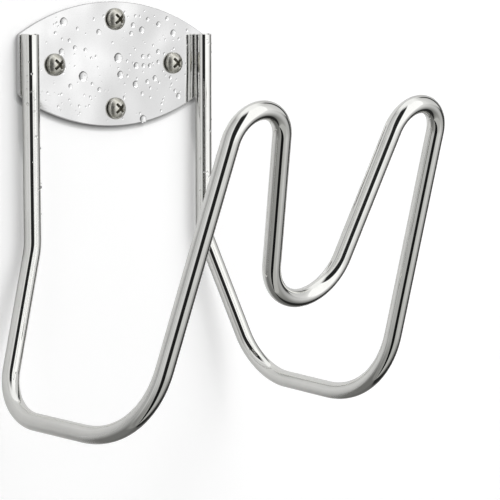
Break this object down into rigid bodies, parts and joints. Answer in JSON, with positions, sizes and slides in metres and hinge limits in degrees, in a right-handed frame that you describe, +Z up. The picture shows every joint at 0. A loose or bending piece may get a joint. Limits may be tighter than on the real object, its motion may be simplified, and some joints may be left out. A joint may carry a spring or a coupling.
{
  "type": "hose hanger",
  "caption": "Wall-mounted hose hanger: a bent round rod with two hose saddles, raised front loops and a central nozzle rest, welded to a barrel-shaped screw-on plate.",
  "frame": {"origin": "centre of the wall plate's back face, on the wall's surface", "axes": "+X to the right as seen from the front, +Y into the wall, +Z up; the hose saddles reach out along -Y"},
  "size_m": [0.181, 0.2018, 0.2082],
  "materials": {
    "plate": "mirror-polished stainless steel",
    "rod": "mirror-polished stainless steel",
    "screws": "plain bright steel, slightly dulled"
  },
  "bodies": {
    "root": {"wall_plate": "plate", "bent_rod": "rod", "mounting_screws": "screws"}
  },
  "joints": []
}
